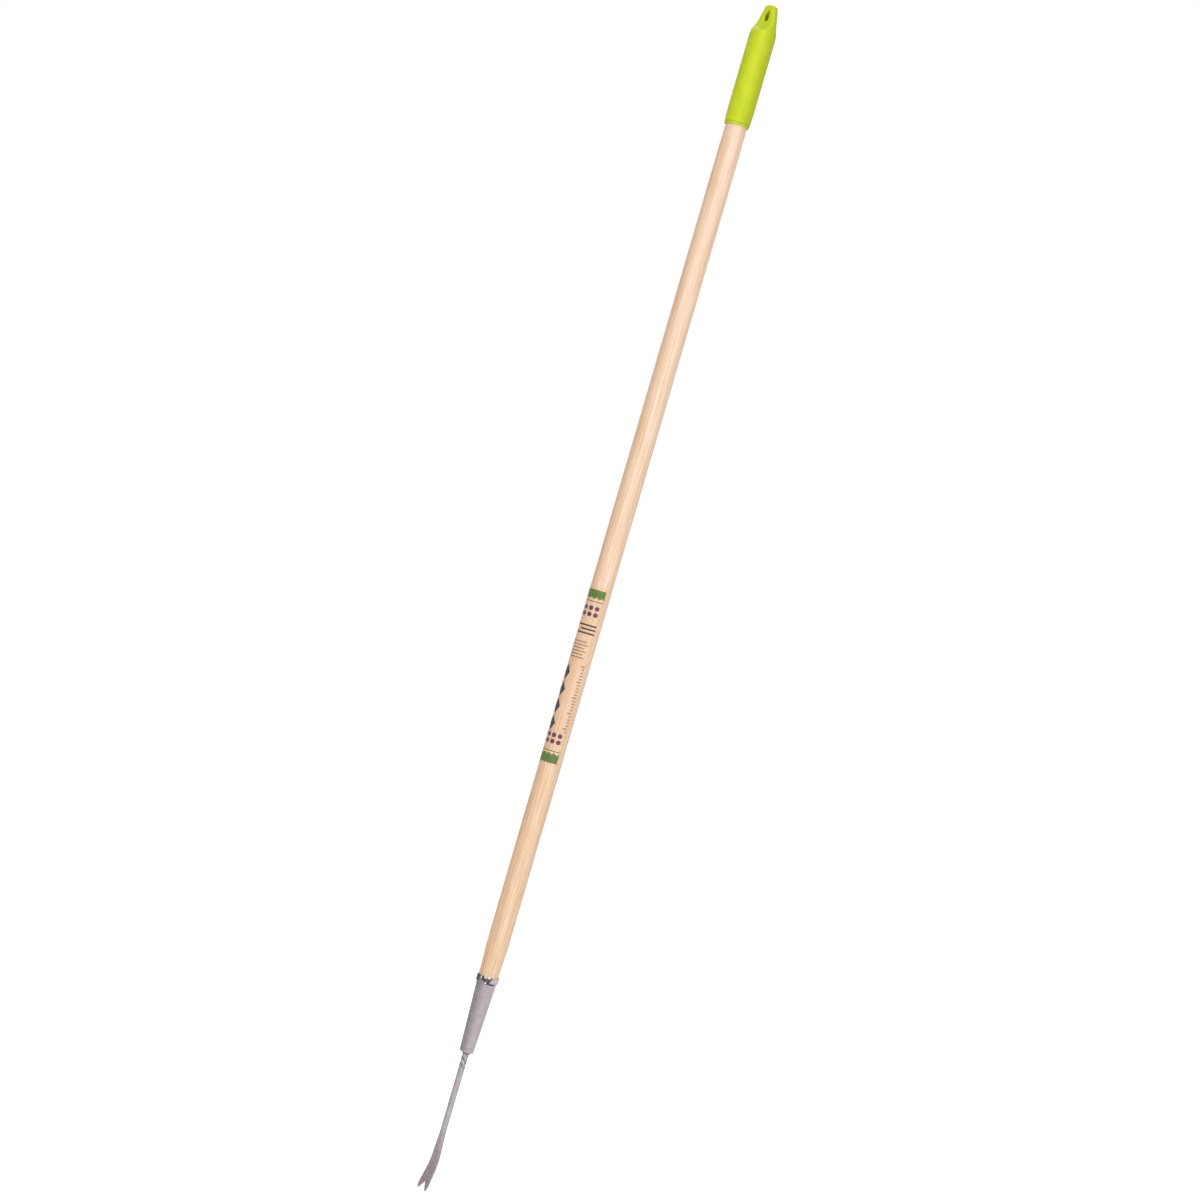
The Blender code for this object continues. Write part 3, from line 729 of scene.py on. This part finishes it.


# A ragged mask of marks on the socket, stains and painted light alike. Each has a turn from the front in
# degrees, a drop below the mouth, a half width and a half height in millimetres. Tear is how deep the noise
# bites into their edges.
def raggedMarks(add, place, marks, ragged, tear):
    covered = None
    for turn, drop, halfWidth, halfHeight in marks:
        turn, level = math.radians(turn), mouthZ - drop * mm
        radius = mouthRadius if drop * mm < socket.mouthBand else coneRadius(level)
        middle = outward(turn) * radius + up * level
        scale = (spot(halfWidth), spot(halfWidth), spot(halfHeight))
        away = add("VectorMath.SUBTRACT", {0: place, 1: middle})
        shares = add("VectorMath.MULTIPLY", {0: away, 1: scale})
        reach = add("VectorMath.LENGTH", {0: shares})
        edge = add("Math.MULTIPLY_ADD", {0: ragged, 1: tear, 2: reach})
        mark = remap(add, edge, (1.2 + tear / 2, 0.8 + tear / 2))
        covered = mark if covered is None else add("Math.MAXIMUM", {0: covered, 1: mark})
    return covered


# The socket's paint, stained, with painted light at the mouth: painted shade round the screw, along the rim
# and under the band's step, a painted reflection of the wood beside it, a pale grey patch, painted glints on
# the edges, a painted groove shade near the end, and a darker side painted as shade
def socketPaint():
    look = Values(
        paint="bdb2b9", paintDeep="aba3a9", steel="6a6266", soiled="bab8ba", clouds=8,
        chips=(1.6, 1.6, 1.6), chipEdge=(0.98, 1.12), peel=1.4,
        wornRun=(socketEndZ, mouthZ),
        wear=[(0.0, "606060"), (0.03, "303030"), (0.94, "303030"), (1.0, "a0a0a0")],
        # From the lowest up: colour, share, spots of the ragged noise in millimetres, tear, and the smudges
        layers={
            # A painted warm reflection of the wood on the band beside the screw
            "varnishRun": ("d0c5b4", 0.85, 1.8, 0.9, [(92, 2.6, 5.5, 4.0)]),
            # A pale grey patch on the band beside the screw
            "thinPaint": ("c6bebc", 0.8, 1.8, 0.9, [(73, 5.4, 3.6, 2.8)]),
            "stain": ("6f646b", 0.38, 0.7, 3.0, [
                (9, 10.6, 3.8, 1.1), (3, 14.4, 2.2, 1.0), (12, 18.0, 1.6, 0.8), (50, 12.6, 2.6, 0.9),
                # The last is a thin dark line near the socket's end, painted shade of a groove that the shape
                # doesn't have
                (44, 93.4, 6.0, 1.1)]),
            # Painted shade round the screw's dimple, along the rim, on one side of the band and under its
            # step
            "grime": ("4b3f44", 0.9, 1.8, 0.9, [
                (15, 3.2, 1.8, 4.2), (36, 4.8, 5.6, 3.2), (51, 2.0, 2.8, 1.3), (65, 1.1, 2.6, 1.0),
                (-11, 1.1, 2.0, 1.8), (-33, 4.2, 6.2, 6.8), (45, 8.5, 3.6, 1.5), (66, 8.8, 6.0, 1.4)]),
            # Painted glints along the rim
            "rubbed": ("f3e7e6", 0.95, 1.8, 0.9, [
                (28, 1.3, 1.9, 2.1), (45, 0.9, 1.9, 1.8), (67, 0.4, 1.6, 0.9), (2, 2.4, 0.75, 1.8)]),
        },
    )
    material, add, shader, place, colour = stovedGreyPaint("stovedGreyPaint", look)
    for name, (shade, share, size, tear, marks) in look.layers.items():
        ragged = mottle(add, place, size, 3.0)
        mask = add("Math.MULTIPLY", {0: raggedMarks(add, place, marks, ragged, tear), 1: share})
        colour = mix(add, mask, colour, shade)
        if name == "grime":  # the painted shade is matt
            for shine, clean in paintShine.items():
                dull = remap(add, mask, onto=(clean, paintedShadeShine[shine]))
                setUp(shader, {shine: dull})
    setUp(shader, {"Base Color": colour})
    return material


def socketProfile():
    bandZ, edgeRound = mouthZ - socket.mouthBand, socket.edgeRound
    footRadius = coneRadius(footZ)
    rim = bend((mouthRadius - edgeRound, mouthZ), (mouthRadius, mouthZ), (mouthRadius, mouthZ - edgeRound), 5)
    flare = bend((mouthRadius, bandZ), (footRadius, bandZ), (footRadius, footZ), 12)
    endEdge = bend((socket.endRadius, socketEndZ + edgeRound), (socket.endRadius, socketEndZ),
                   (socket.endRadius - edgeRound, socketEndZ), 5)
    outside = np.concatenate([
        rim[:-1],
        evenly([rim[-1], (mouthRadius, bandZ)], socket.mouthRows)[:-1],
        evenly(flare, socket.mouthRows)[:-1],
        evenly([(footRadius, footZ), (socket.endRadius, socketEndZ + edgeRound)], socket.coneRows)[:-1],
        endEdge,
    ])
    bore = np.array([
        (socket.endRadius - socket.wall, socketEndZ),
        (footRadius - socket.wall, footZ),
        (mouthRadius - socket.mouthWall, mouthZ - edgeRound),
        (mouthRadius - socket.mouthWall + edgeRound / 2, mouthZ),
    ])
    return outside, bore


def makeSocket():
    outside, bore = socketProfile()
    profile = np.concatenate([outside, bore])
    turn = turns(socket.aroundSteps)
    radius, height = profile[:, :1] + 0 * turn, profile[:, 1:] + 0 * turn

    # The dimple that seats the screw, with a low burr round it
    across = mouthRadius * turnFrom(turn, screw.turn - math.pi / 2)
    reach = np.hypot(across, height - screwPlace.z)
    onOutside = np.arange(len(profile))[:, None] < len(outside)
    seatRadius = screw.headDiameter / 2 + screw.clearance
    dimple = screw.seatDepth * (1 - smoothStep(seatRadius, screw.dimpleReach, reach))
    burr = screw.burr * hump(reach - screw.dimpleReach - screw.burrAway, screw.burrWidth)
    dimple = np.where(onOutside, dimple - burr, 0)

    # The rolled seam down the back, dressed nearly flush, and the faint crease at the foot of the flare
    fromSeam = radius * turnFrom(turn, math.pi / 2)
    seam = socket.seamHeight * hump(fromSeam, socket.seamWidth)
    creaseZ = footZ - socket.creaseDrop
    crease = socket.creaseHeight * hump(height - creaseZ, socket.creaseWidth)
    radius = radius - dimple + np.where(onOutside, seam + crease, 0)

    # The mouth is cut a touch out of square
    slant = socket.rimSlant * np.cos(turn - viewAzimuth)
    height = height + slant * smoothStep(footZ, mouthZ, height)
    shell = skin("steelSocket", roundAxis(radius, height, turn), closed=True, sharp=50)
    addPiece(shell, socketPaint(), "painted_steel", "socket")


# Pan-head screw

# Zinc-plated steel gone dull: the plating has darkened outdoors, and only its high spots still shine
def dulledZincPlate():
    look = Values(
        zinc="8b8288", dull="3d3237", marks=0.9,
        rubbed="f6eff1", rubDrop=2.2 * mm, rubReach=(1.5 * mm, 0.9 * mm),
    )
    material, add, shader, place = startMaterial("dulledZincPlate", {"Metallic": 1.0})
    marks = mottle(add, place, look.marks, 3.0)
    zinc = add("ValToRGB", {"Fac": marks}, stops=[(0.45, look.dull), (0.72, look.zinc)])
    gloss = remap(add, marks, onto=(0.5, 0.28))
    bump = emboss(add, marks, 0.3, 0.02)
    # A painted glint on the lower edge of the screw's head
    glintPlace = screwPlace + screwOut * screw.headHeight / 2 - up * look.rubDrop
    fromGlint = add("VectorMath.DISTANCE", {0: place, 1: glintPlace})
    glint = remap(add, fromGlint, look.rubReach)
    colour = mix(add, glint, zinc, look.rubbed)
    setUp(shader, {"Base Color": colour, "Roughness": gloss, "Normal": bump})
    return material


# Turns points of the screw's own frame, +Z out of its head, to their place on the mouth band
def onScrew(points):
    sideways = up.cross(screwOut)
    seat = screwPlace - screwOut * (screw.seatDepth - screw.clearance)
    return np.array(seat) + points @ np.array([sideways, up, screwOut])


def makeScrew():
    head, shank, top = screw.headDiameter / 2, screw.shankDiameter / 2, screw.headHeight
    brim = top * screw.brimShare
    dome = bend((0, top), (head * 0.95, top), (head, brim), 14)
    foot = bend((head, brim), (head, 0), (head - screw.clearance, 0), 5)
    profile = np.concatenate([dome[:-1], foot, [
        (shank, 0), (shank, screw.point - screw.length), (0, -screw.length),
    ]])
    points = roundAxis(profile[:, :1], profile[:, 1:], turns(64))
    piece = addPiece(skin("panScrew", onScrew(points), sharp=35), dulledZincPlate(), "screw", "socket_screw")
    carve(piece, recessTool(), 35)


# The cross recess: its arms narrow and shorten as they go in
def recessTool():
    tilt, rows = screw.recessTilt, []
    for level, width, span in screw.recessRows:
        near, far = screw.recessWidth / 2 * width, screw.recessSpan / 2 * span
        quarter = [(far, near), (near, near), (near, far)]
        for turn in range(4):
            way = tilt + turn * math.pi / 2
            rows += [(x * math.cos(way) - y * math.sin(way), x * math.sin(way) + y * math.cos(way),
                      screw.headHeight + level * screw.recessDepth) for x, y in quarter]
    return skin("recessTool", capped(onScrew(np.array(rows).reshape(2, -1, 3))))


# Weld bead

weld = Values(
    rootRadius=3.9 * mm, spread=1.0 * mm, toe=0.3 * mm, swell=0.35 * mm, gap=0.3 * mm, lap=0.2 * mm,
    footGap=0.02 * mm,
    slump=((0.18, 1, 1), (0.1, 3, 0)),  # share, waves round the rod, and where they start in radians
    rippleLean=0.35, ripples=13, rippleHeight=0.24 * mm, aroundSteps=240,
)


def makeWeld():
    top, bottom = socketEndZ + weld.lap, weldLow.z - weld.gap
    arc = np.linspace(0, 1, 22)[:, None]
    middle = np.sin(math.pi * arc)
    turn = turns(weld.aroundSteps)
    slump = 1 + sum(share * np.sin(waves * turn + start) for share, waves, start in weld.slump)
    bulge = weld.toe + (weld.spread - weld.toe) * (1 - arc**1.6) + weld.swell * middle
    crest = (turn * weld.ripples / (2 * math.pi) - weld.rippleLean * middle) % 1
    fade = np.sin(math.pi * np.clip(arc, 0.06, 0.96))
    ripple = weld.rippleHeight * (np.sqrt(1 - (1 - crest) ** 2) - 0.5) * fade
    radius = rodRadius + bulge * slump + ripple
    height = top + (bottom - top) * arc * (0.9 + 0.1 * slump)
    radius = np.where(arc >= 1, rodRadius + weld.footGap, radius)  # the foot lies down on the rod
    outer = roundAxis(radius, height, turn)
    inner = roundAxis(weld.rootRadius, np.array([[bottom], [top]]), turn)
    # The weld's paint is darker than the socket's: a painted shadow under the socket's end
    look = Values(
        paint="958b91", paintDeep="71686d", steel="4c4549", soiled="dcdadc", clouds=3,
        chips=(1, 1, 1), chipEdge=(0.98, 1.12), peel=0.8,
        wornRun=(bottom, top), wear=[(0.0, "484848"), (1.0, "484848")],
    )
    bead = skin("weldBead", np.concatenate([outer, inner]), closed=True, sharp=60)
    addPiece(bead, stovedGreyPaint("weldPaintWithPaintedShadow", look)[0], "painted_steel", "weld_bead")


# Forged fork

fork = Values(
    rodDiameter=8 * mm, rodShown=106 * mm, topChamfer=0.8 * mm, jawMarks=0.36 * mm, jawPitch=8 * mm,
    jawStarts=3, jawPatches=(4.3 * mm, 7.1 * mm), jawRun=(14 * mm, 34 * mm),
    jawDirt=(0.04 * mm, 0.26 * mm),  # depths where the painted shade starts and is full
    jawEvenness=0.7, bladeLength=73.5 * mm, bladeWidth=17.6 * mm, bladeThickness=2.6 * mm, squareness=5,
    earlySpread=0.15, thinPower=2.2, crankDrop=28 * mm, crankRadius=70 * mm, crankAngle=math.radians(17),
    drawIn=1.3 * mm, drawInRun=10 * mm, shortProng=1.9 * mm, shortProngRun=16 * mm, notchDepth=11.5 * mm,
    notchOpening=11.6 * mm, notchRound=1.4 * mm, notchBevel=0.4 * mm, notchOverrun=6 * mm,
    # Rows of the tool that cuts the notch: place through the blade in millimetres, and spread in bevels
    notchRows=((-4, 3.1), (-1.3, 1.0), (-0.5, 0.0), (0.5, 0.0), (1.3, 0.5), (4, 2.2)),
    tipGrind=0.35, tipGrindRun=9 * mm, hollow=0.35 * mm,
    hollowRun=(0.25, 0.8),  # shares of the blade where it starts and is full
    hammering=0.14 * mm, hammerSize=7 * mm, hammerRun=0.3,
    rodHammering=0.35,  # share of it on the rod
    aroundSteps=96, rodRows=200, bladeRows=130,
)
rodRadius = fork.rodDiameter / 2
rodEndZ = socketEndZ - fork.rodShown


# The fork's middle line at a distance down from the rod's end: its y, its z and its tilt forwards
def forkLine(distance):
    bendLength = fork.crankRadius * fork.crankAngle
    tilt = np.clip(distance - fork.crankDrop, 0, bendLength) / fork.crankRadius
    onward = np.clip(distance - fork.crankDrop - bendLength, 0, None)
    forward = fork.crankRadius * (1 - np.cos(tilt)) + onward * np.sin(tilt)
    down = np.minimum(distance, fork.crankDrop) + fork.crankRadius * np.sin(tilt)
    return -forward, rodEndZ - down - onward * np.cos(tilt), tilt


# Forged and painted steel: the grey paint of the socket above, rubbed down to bare steel towards the prongs
def forkPaint():
    look = Values(
        paint="bbb5b8", paintDeep="a8a1a4", steel="86757c", groove="5b5458", soiled="ebe9eb",
        clouds=6, chips=(1.2, 1.2, 5), chipEdge=(0.9, 1.2), peel=1.0,
        wornRun=(rodEndZ + 30 * mm, forkLow.z),
        wear=[(0.0, "404040"), (0.3, "b6b6b6"), (0.6, "c4c4c4"), (1.0, "cccccc")],
    )
    material, add, shader, place, steel = stovedGreyPaint("rubbedPaintOnForgedSteel", look)

    # Painted shade in the jaw marks at the top of the rod
    flat = add("VectorMath.MULTIPLY", {0: place, 1: (1, 1, 0)})
    fromAxis = add("VectorMath.LENGTH", {0: flat})
    start, full = (rodRadius - depth for depth in fork.jawDirt)
    sunk = remap(add, fromAxis, (start, full), (0.0, 0.95))
    height = add("SeparateXYZ", {0: place}).outputs["Z"]
    shown, gone = (socketEndZ - run for run in fork.jawRun)
    nearSocket = remap(add, height, (gone, shown))
    recessShade = add("Math.MULTIPLY", {0: sunk, 1: nearSocket})
    colour = mix(add, recessShade, steel, look.groove)
    setUp(shader, {"Base Color": colour})
    return material


def makeFork():
    rod, length, side = fork.rodDiameter, fork.bladeLength, turns(fork.aroundSteps)
    rodRows = np.linspace(rodEndZ - forkHigh.z + fork.topChamfer, 0, fork.rodRows)[:-1]
    distance = np.concatenate([rodRows, np.linspace(0, length, fork.bladeRows)])[:, None]
    share = np.clip(distance / length, 0, 1)
    forward, level, tilt = forkLine(distance)
    widening = share + fork.earlySpread * share * (1 - share)
    thinning = 1 - (1 - share) ** fork.thinPower
    tipShare = np.clip(1 - (length - distance) / fork.drawInRun, 0, 1)
    width = rod + (fork.bladeWidth - rod) * widening - 2 * fork.drawIn * tipShare**2
    thickness = rod + (fork.bladeThickness - rod) * thinning
    grind = smoothStep(length - fork.tipGrindRun, length, distance)
    power = 2 / (2 + (fork.squareness - 2) * thinning)
    cosine, sine = np.cos(side), np.sin(side)
    x = np.sign(cosine) * np.abs(cosine) ** power * width / 2
    through = np.sign(sine) * np.abs(sine) ** power * thickness / 2

    # Slanting marks from the jaws that held the rod for welding, fading out down the rod
    shown, gone = fork.jawRun
    belowSocket = distance + fork.rodShown
    jaws = np.sin(2 * math.pi * belowSocket / fork.jawPitch - fork.jawStarts * side)
    slow, slower = fork.jawPatches
    patchy = np.sin(side + belowSocket / slow) * np.sin(2 * side - belowSocket / slower)
    patchy = fork.jawEvenness + (1 - fork.jawEvenness) * patchy
    jaws = 1 + fork.jawMarks / rodRadius * jaws * patchy * (1 - smoothStep(shown, gone, belowSocket))
    x, through = x * jaws, through * jaws
    hollow = fork.hollow * smoothStep(*fork.hollowRun, share) * (1 - (2 * x / width) ** 2)
    through = np.where(through < 0, through + hollow, through * (1 - fork.tipGrind * grind))

    # One prong came out of the forge a little shorter than the other
    short = smoothStep(length - fork.shortProngRun, length, distance)
    short = fork.shortProng * short * np.clip(-2 * x / width, 0, 1)
    y = forward + through * np.cos(tilt) + short * np.sin(tilt)
    z = level - through * np.sin(tilt) + short * np.cos(tilt)
    points = np.stack(np.broadcast_arrays(x, y, z), -1)

    # Hammer marks: slow dents pushed in square to the middle line
    flat = points.reshape(-1, 3)
    dents = np.array([noise.noise(Vector(p) / fork.hammerSize) for p in flat.tolist()]).reshape(x.shape)
    inward = np.stack(np.broadcast_arrays(x, y - forward, 0 * x), -1)
    inward = inward / np.maximum(np.linalg.norm(inward, axis=-1, keepdims=True), 1e-9)
    strength = fork.rodHammering + (1 - fork.rodHammering) * smoothStep(0, fork.hammerRun, share)
    strength = fork.hammering * strength * smoothStep(0, shown, belowSocket)
    points = points + inward * (dents * strength)[..., None]
    ends = [np.repeat(points[row].mean(0)[None, None], fork.aroundSteps, 1) for row in (0, -1)]
    topCap = ends[0] + np.array([0, 0, fork.topChamfer])
    piece = addPiece(skin("forgedFork", np.concatenate([topCap, points, ends[1]]), sharp=45),
                     forkPaint(), "forged_steel", "fork")
    carve(piece, notchTool(), 45)


# The V between the prongs, opened wider at the blade's back and front so that its sides come out bevelled
def notchTool():
    forward, level, tilt = forkLine(np.array(fork.bladeLength))
    half, depth, roundSize = fork.notchOpening / 2, fork.notchDepth, fork.notchRound
    below = fork.notchOverrun
    lean = half / depth
    apex = bend((lean * roundSize, depth - roundSize), (0, depth), (-lean * roundSize, depth - roundSize), 13)
    outline = np.array([(half + lean * below, -below), *apex, (-half - lean * below, -below)])
    upBlade = np.array([0, math.sin(tilt), math.cos(tilt)])
    throughBlade = np.array([0, math.cos(tilt), -math.sin(tilt)])
    tip = np.array([0, float(forward), float(level)])
    rows = []
    for through, wider in fork.notchRows:
        middle, spread = tip + throughBlade * through * mm, wider * fork.notchBevel
        raised = outline + np.stack([np.sign(outline[:, 0]) * spread * 0.9, np.full(len(outline), spread)], 1)
        rows.append([middle + np.array([a, 0, 0]) + upBlade * b for a, b in raised])
    return skin("notchTool", capped(np.array(rows)))


# Bush in the socket's end

# Drawn steel, sawn to length: dark grey with ring marks from the saw and a bloom of rust
def sawnSteel():
    look = Values(steel="6f6a6c", rust="7a5c48", marks=0.5, bloom=3)
    material, add, shader, place = startMaterial("sawnSteel", {"Metallic": 0.9, "Roughness": 0.45})
    bloom = mottle(add, place, look.bloom, 5.0)
    rusty = remap(add, bloom, (0.5, 0.8), (0.0, 0.6))
    steel = mix(add, rusty, look.steel, look.rust)
    marks = mottle(add, place, look.marks)
    bump = emboss(add, marks, 0.4, 0.03)
    setUp(shader, {"Base Color": steel, "Normal": bump})
    return material


def finishBush():
    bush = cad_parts["socket_bush"]
    bush.data.materials.clear()
    bush.data.materials.append(sawnSteel())


# Camera, floor and light

camera = Values(
    lean=math.radians(16.26), metresPerPixel=1.2427 * mm, sensor=36,
    # In pixels of the photograph. Along is measured down the shaft's axis, and aside is to its right.
    imageSide=1200, focalPixels=2430, aimAlong=623.13, slotAlong=16.5, aimAside=1.82,
)
toViewer = outward(viewAzimuth)
viewerRight = up.cross(toViewer)


def makeCamera():
    lean, pixel = camera.lean, camera.metresPerPixel
    aim = -up * (camera.aimAlong - camera.slotAlong) * pixel + viewerRight * camera.aimAside * pixel
    imageUp = up * math.cos(lean) - viewerRight * math.sin(lean)
    imageRight = viewerRight * math.cos(lean) + up * math.sin(lean)
    data = bpy.data.cameras.new("camera")
    data.sensor_width = camera.sensor
    data.lens = camera.sensor * camera.focalPixels / camera.imageSide
    viewer = addObject(data)
    stand = Matrix.Translation(aim + toViewer * camera.focalPixels * pixel)
    viewer.matrix_world = stand @ Matrix((imageRight, imageUp, toViewer)).transposed().to_4x4()
    scene.camera = viewer


studio = Values(
    floorDrop=0.22,
    floorReach=14,
    floorColour="f4f3f1",
    floorGlow=(0.5, 0.75),  # under the tool and far away
    glowReach=(0.4, 2.5),
    ambient=0.3,
    # name: turn from the camera and rise in degrees, distance, width and height in metres, watts
    lamps={
        "keyBox": (25, 10, 2.6, 2.4, 2.6, 28),
        "frontStrip": (-4, 15, 3.2, 0.2, 1.8, 21),
        "topBox": (-28, 58, 2.8, 2.0, 2.0, 16),
        "backBox": (184, 40, 3.0, 1.6, 2.0, 38),
    },
)


# What the camera sees directly, mirrored or through glass gets the white; everything else gets lamp light
def seenRays(add):
    path = add("LightPath")
    seen = path.outputs["Is Camera Ray"]
    for ray in ("Is Glossy Ray", "Is Transmission Ray"):
        seen = add("Math.MAXIMUM", {0: seen, 1: path.outputs[ray]})
    return seen


def makeWorld():
    world = bpy.data.worlds.new("studio")
    scene.world = world
    world.use_nodes = True
    add = partial(addNode, world.node_tree)
    strength = remap(add, seenRays(add), onto=(studio.ambient, 1.0))
    background = world.node_tree.nodes["Background"]
    setUp(background, {"Color": "ffffff", "Strength": strength})


# Matt pale paper floor: it takes the tool's shadow, and glows only towards the camera and mirrors
def paleFloorPaper():
    material, add, shader, place = startMaterial("paleFloorPaper", {
        "Base Color": studio.floorColour, "Roughness": 0.9, "Metallic": 0.0,
        "Specular IOR Level": 0.0, "Emission Color": "ffffff",
    })
    away = add("VectorMath.LENGTH", {0: place})
    ground = remap(add, away, studio.glowReach, studio.floorGlow)
    glow = add("Math.MULTIPLY", {0: seenRays(add), 1: ground})
    setUp(shader, {"Emission Strength": glow})
    return material


def makeFloor():
    reach, level = studio.floorReach, cadLow.z - studio.floorDrop
    mesh = bpy.data.meshes.new("floor")
    rework(mesh, lambda disc: bmesh.ops.create_circle(disc, cap_ends=True, segments=64, radius=reach))
    mesh.materials.append(paleFloorPaper())
    floor = addObject(mesh)
    floor.location.z = level


def makeLamps():
    target = Vector((0, 0, middleZ))
    for name, (turn, rise, distance, width, height, watts) in studio.lamps.items():
        rise = math.radians(rise)
        away = outward(viewAzimuth + math.radians(turn)) * math.cos(rise) + up * math.sin(rise)
        data = bpy.data.lights.new(name, "AREA")
        data.shape, data.size, data.size_y, data.energy = "RECTANGLE", width, height, watts
        lamp = addObject(data)
        lamp.location = target + away * distance
        lamp.rotation_euler = away.to_track_quat("Z", "Y").to_euler()


scene.view_settings.view_transform = "Standard"
for step in (makeCamera, makeWorld, makeFloor, makeLamps, makeGrip, makeShaft, makeLabel, makeSocket,
             makeScrew, finishBush, makeWeld, makeFork):
    step()
    print("done:", step.__name__)
